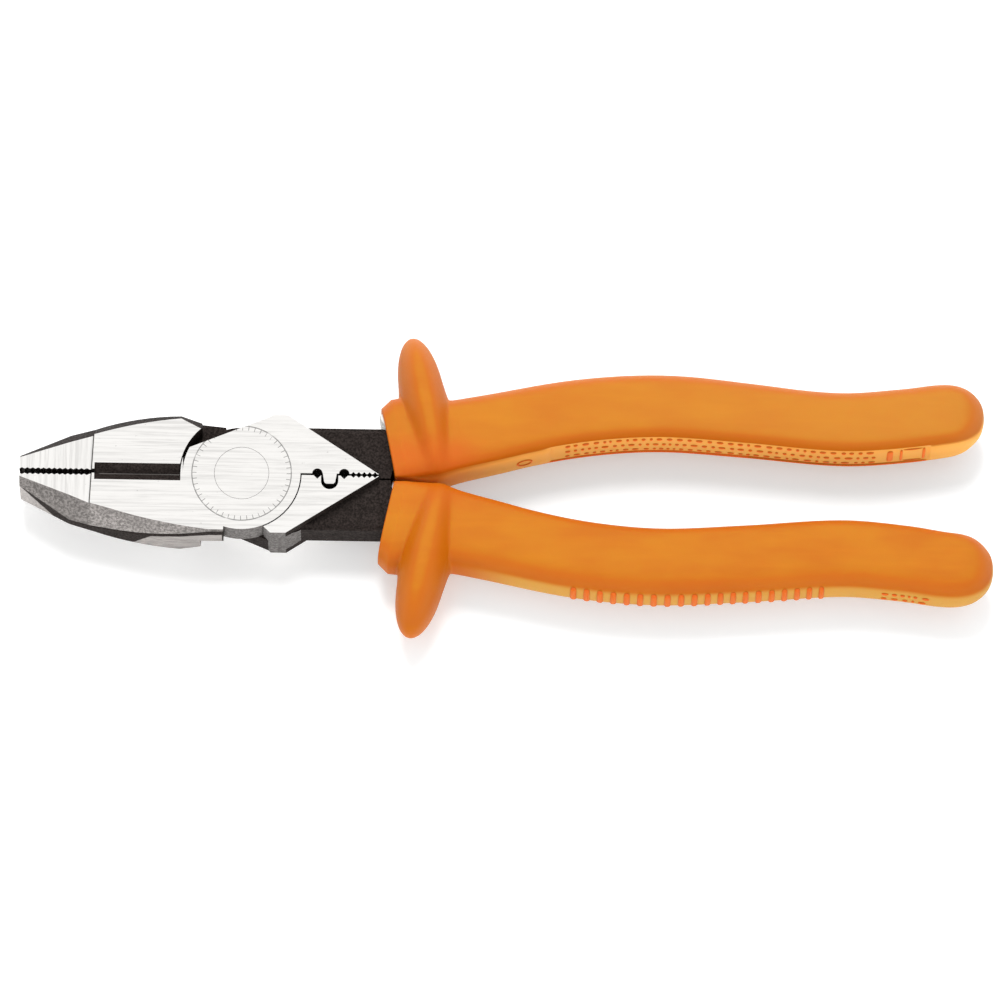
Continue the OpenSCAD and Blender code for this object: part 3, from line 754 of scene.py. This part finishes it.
def add_upper_marks(edit):
    """Plain stand-ins for the raised marks on the upper grip's inner side."""
    dice = random.Random(11)
    for height in (-3.5, 0.0, 3.5):
        pip_row(edit, dice, (79.0, 158.0), height, 1.7, UPPER, False)
    raised_bar(edit, 161.2, (-4.2, -1.4, 1.4, 4.2), 1.7, PIP_LIFT, UPPER, False)
    for x in (164.0, 169.2):
        raised_bar(edit, x, (-4.4, -1.4, 1.4, 4.4), 0.8, PIP_LIFT, UPPER, False)
    for height in (-4.0, 4.0):
        raised_bar(edit, 166.6, (height - 0.4, height + 0.4), 5.4, PIP_LIFT, UPPER, False)
    raised_ring(edit, 68.6, 1.5, 0.6, 0.3, UPPER)


def add_lower_marks(edit):
    """Plain ribs and pips in place of the raised marks on the lower grip's outer side."""
    dice = random.Random(5)
    for i in range(RIB_COUNT):
        raised_bar(edit, RIB_X + i * RIB_PITCH, (-4.6, -2.3, 0.0, 2.3, 4.6), RIB_WIDTH, RIB_LIFT, LOWER, True)
    for height in (-1.7, 1.7):
        pip_row(edit, dice, (160.7, 171.5), height, 1.7, LOWER, True)


def grip_mesh(name, side):
    edit = bmesh.new()
    angles = grip_angles(side)
    rings = []
    # The cavity, from its blind end to the mouth.
    sleeve_cap = list(rounded_end(1.0, SLEEVE_END_X, SLEEVE_CAP_LEN, 4))[::-1]
    cavity = sleeve_cap + [(x, 1.0) for x in spread(COLLAR_X, SLEEVE_END_X, 5.0)[::-1]] + [(MOUTH_X + 0.4, 1.0)]
    for x, k in cavity:
        rings.append([cavity_point(x, a, k, side) for a in angles])
    blind = sum((p for p in rings[0]), Vector()) / len(angles)
    # The mouth's rim from the cavity outwards, then the chamfer behind it and the outside.
    chamfer = (COLLAR_X - MOUTH_X) * CHAMFER_SLOPE
    rim = [grip_point(MOUTH_X, a, 1.0, side, chamfer) for a in angles]
    hole = [cavity_point(MOUTH_X, a, 1.0, side) for a in angles]
    for share in (0.0, 0.5):
        rings.append([inner.lerp(outer, share) for inner, outer in zip(hole, rim)])
    rim_row = len(rings)
    rings.append(rim)
    rings.append([grip_point((MOUTH_X + COLLAR_X) / 2, a, 1.0, side, chamfer / 2) for a in angles])
    rings.append([grip_point(COLLAR_X, a, 1.0, side) for a in angles])
    for x, k in grip_rings(side):
        rings.append([grip_point(x, a, k, side) for a in angles])
    rows = [add_ring(edit, ring) for ring in rings]
    for first, second in zip(rows, rows[1:]):
        bridge(edit, first, second)
    crease_ring(edit, rows[rim_row - 2], 0.7)
    crease_ring(edit, rows[rim_row], 0.7)
    crease_ring(edit, rows[rim_row + 2], 0.6)
    tip = sum((v.co for v in rows[-1]), Vector()) / len(angles)
    close_ring(edit, rows[-1], tip + Vector((0.03 * MM, 0, 0)))
    close_ring(edit, rows[0][::-1], blind)
    if side == UPPER:
        shade_panel_edge(edit)
        add_upper_marks(edit)
    else:
        add_lower_marks(edit)
    bmesh.ops.recalc_face_normals(edit, faces=edit.faces)
    mesh = bpy.data.meshes.new(name)
    edit.to_mesh(mesh)
    edit.free()
    return mesh


def sleeve_mesh(name, side):
    """The white underlayer: a tube between the tang and the grip, closed at its far end."""
    edit = bmesh.new()
    count = 40
    angles = [2 * math.pi * i / count for i in range(count)]
    tang = {"half_w": 4.6 + LAYER_GAP, "half_t": 5.0 + LAYER_GAP}

    def outer(x, k, a):
        out, inner = (outer_body_w(x, side) - GRIP_WALL) * k, (grip_w(x) - INNER_FLAT - GRIP_WALL) * k
        radius = radius_of(a, out, inner, (GRIP_HALF_T - GRIP_WALL) * k, OUTER_POWER)
        return on_section(x, a, radius, side, SLEEVE_SEAM)

    def start(a):
        proud = smooth((math.cos(a) - 0.55) / 0.3) if side == UPPER else 0.0
        return mix(MOUTH_X + SLEEVE_BACK, MOUTH_X - SLEEVE_PROUD, proud)

    rows = []
    for x in [SLEEVE_END_X - 1] + spread(COLLAR_X, SLEEVE_END_X - 1, 8.0)[::-1] + [MOUTH_X + 1]:
        ring = []
        for a in angles:
            c, s = math.cos(a), math.sin(a)
            r = (abs(c / tang["half_w"]) ** 8 + abs(s / tang["half_t"]) ** 8) ** (-1 / 8)
            ring.append(to_frame(x, r * c, r * s, side))
        rows.append(ring)
    for ahead, k in ((0.0, 0.97), (0.1, 0.992), (0.3, 1.0)):
        rows.append([outer(start(a) + ahead, k, a) for a in angles])
    for x in spread(COLLAR_X, SLEEVE_END_X, 6.0) + [SLEEVE_END_X]:
        rows.append([outer(x, 1.0, a) for a in angles])
    for x, k in rounded_end(1.0, SLEEVE_END_X, SLEEVE_CAP_LEN - 0.2, 4):
        rows.append([outer(x, k, a) for a in angles])
    rings = [add_ring(edit, ring) for ring in rows]
    for first, second in zip(rings, rings[1:]):
        bridge(edit, first, second)
    close_ring(edit, rings[-1], sum((v.co for v in rings[-1]), Vector()) / count)
    close_ring(edit, rings[0][::-1], sum((v.co for v in rings[0]), Vector()) / count)
    bmesh.ops.recalc_face_normals(edit, faces=edit.faces)
    mesh = bpy.data.meshes.new(name)
    edit.to_mesh(mesh)
    edit.free()
    return mesh


def add_piece(name, mesh, materials, body, node, levels):
    piece = bpy.data.objects.new(name, mesh)
    bpy.context.scene.collection.objects.link(piece)
    for material in materials:
        mesh.materials.append(material)
    if levels:
        smooth_surface = piece.modifiers.new("smooth_surface", "SUBSURF")
        smooth_surface.levels = smooth_surface.render_levels = levels
    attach(piece, body)
    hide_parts(node)
    return piece


# ---------------------------------------------------------------- the object

steel_piece("lower_jaw_forging", "lower_jaw_half", "lower_jaw_body", 1, "lower_side")
steel_piece("upper_jaw_forging", "upper_jaw_half", "upper_jaw_body", -1, "upper_side")
steel_piece("flush_rivet", "pivot_rivet", "upper_jaw_body", 1, "lower_side")

# Tones in order: mottle low and high, the painted shade on slopes, the painted sheen on upright sides, and the
# painted light on the upper handle's inner side.
vinyl = orange_vinyl(
    "orange_vinyl",
    (0.50, 0.136, 0.002, 1),
    (0.53, 0.176, 0.004, 1),
    (0.53, 0.112, 0.002, 1),
    (0.57, 0.275, 0.040, 1),
    (0.93, 0.430, 0.075, 1),
)
marks = orange_vinyl(
    "deep_orange_marks",
    (0.58, 0.095, 0.005, 1),
    (0.63, 0.115, 0.007, 1),
    (0.76, 0.130, 0.008, 1),
    (0.66, 0.130, 0.008, 1),
    (0.96, 0.190, 0.016, 1),
)
underlayer = white_underlayer("white_underlayer")
for side, name, body in ((UPPER, "upper", UPPER_BODY), (LOWER, "lower", LOWER_BODY)):
    grip, sleeve = f"{name}_handle_grip", f"{name}_handle_sleeve"
    add_piece(grip, grip_mesh(grip, side), (vinyl, marks), body, f"{name}_grip", 2)
    add_piece(sleeve, sleeve_mesh(sleeve, side), (underlayer,), body, f"{name}_inner_sleeve", 0)


# ---------------------------------------------------------------- floor, light and camera


FLOOR_GLOW = 0.28  # light the floor gives off, so that only the close shadows stay visible
SOFTBOX = Vector((0, 0.42, 0.91))  # direction of the brightest part of the studio


def make_floor():
    size = 3.0
    mesh = bpy.data.meshes.new("floor")
    edit = bmesh.new()
    bmesh.ops.create_grid(edit, x_segments=1, y_segments=1, size=size)
    edit.to_mesh(mesh)
    edit.free()
    floor = bpy.data.objects.new("floor", mesh)
    bpy.context.scene.collection.objects.link(floor)
    floor.location.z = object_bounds()[0].z - 0.0002
    material, tree, shader = new_material("pale_floor")
    n = Nodes(tree)
    tone = n.ramp(n.noise(0.02, detail=2), 0.3, 0.7, 0.86, 0.88)
    n.plug(shader.inputs["Base Color"], n.make("ShaderNodeCombineColor", Red=tone, Green=tone, Blue=tone).outputs[0])
    shader.inputs["Roughness"].default_value = 0.9
    shader.inputs["Specular IOR Level"].default_value = 0.1
    shader.inputs["Emission Color"].default_value = (1, 1, 1, 1)
    shader.inputs["Emission Strength"].default_value = FLOOR_GLOW
    mesh.materials.append(material)


def make_world():
    """A soft white studio with one broad softbox overhead and towards +Y."""
    world = bpy.data.worlds.new("studio")
    world.use_nodes = True
    tree = world.node_tree
    tree.nodes.clear()
    output = tree.nodes.new("ShaderNodeOutputWorld")
    background = tree.nodes.new("ShaderNodeBackground")
    place = tree.nodes.new("ShaderNodeTexCoord").outputs["Generated"]
    facing = tree.nodes.new("ShaderNodeVectorMath")
    facing.operation = "DOT_PRODUCT"
    tree.links.new(place, facing.inputs[0])
    facing.inputs[1].default_value = SOFTBOX.normalized()
    ramp = tree.nodes.new("ShaderNodeMapRange")
    ramp.interpolation_type = "SMOOTHSTEP"
    tree.links.new(facing.outputs["Value"], ramp.inputs[0])
    for socket, value in zip(ramp.inputs[1:5], (0.45, 0.97, 0.60, 1.04)):
        socket.default_value = value
    tree.links.new(ramp.outputs[0], background.inputs["Strength"])
    background.inputs["Color"].default_value = (1.0, 0.997, 0.99, 1)
    tree.links.new(background.outputs[0], output.inputs[0])
    bpy.context.scene.world = world


def area_light(name, place, target, size, watts, colour=(1, 1, 1)):
    data = bpy.data.lights.new(name, "AREA")
    data.shape = "DISK"
    data.size = size
    data.energy = watts
    data.color = colour
    lamp = bpy.data.objects.new(name, data)
    lamp.location = place
    lamp.rotation_euler = (Vector(target) - Vector(place)).to_track_quat("-Z", "Y").to_euler()
    lamp.visible_glossy = False
    bpy.context.scene.collection.objects.link(lamp)


def make_camera():
    """A long lens above the tool, tipped towards -Y, with the small roll of the picture."""
    elevation, roll = math.radians(71.5), math.radians(0.95)
    aim = Vector((64.55, -3.29, MID_Z)) * MM
    field, lens, sensor = 0.25, 400.0, 36.0
    distance = field * lens / sensor
    back = Vector((0, -math.cos(elevation), math.sin(elevation)))
    right = Vector((1, 0, 0))
    up = back.cross(right)
    turned_right = right * math.cos(roll) + up * math.sin(roll)
    turned_up = up * math.cos(roll) - right * math.sin(roll)
    data = bpy.data.cameras.new("camera")
    data.lens, data.sensor_width = lens, sensor
    data.clip_start, data.clip_end = 0.1, 50
    camera = bpy.data.objects.new("camera", data)
    matrix = Matrix((turned_right, turned_up, back)).transposed().to_4x4()
    matrix.translation = aim + back * distance
    camera.matrix_world = matrix
    bpy.context.scene.collection.objects.link(camera)
    bpy.context.scene.camera = camera


make_floor()
make_world()
centre = (cad_box[0] + cad_box[1]) / 2
area_light("key", centre + Vector((-0.05, 0.45, 1.05)), centre, 0.45, 9)
area_light("low_fill", centre + Vector((0.1, -1.1, 0.42)), centre, 0.6, 4.5)
make_camera()
bpy.context.scene.view_settings.view_transform = "Standard"
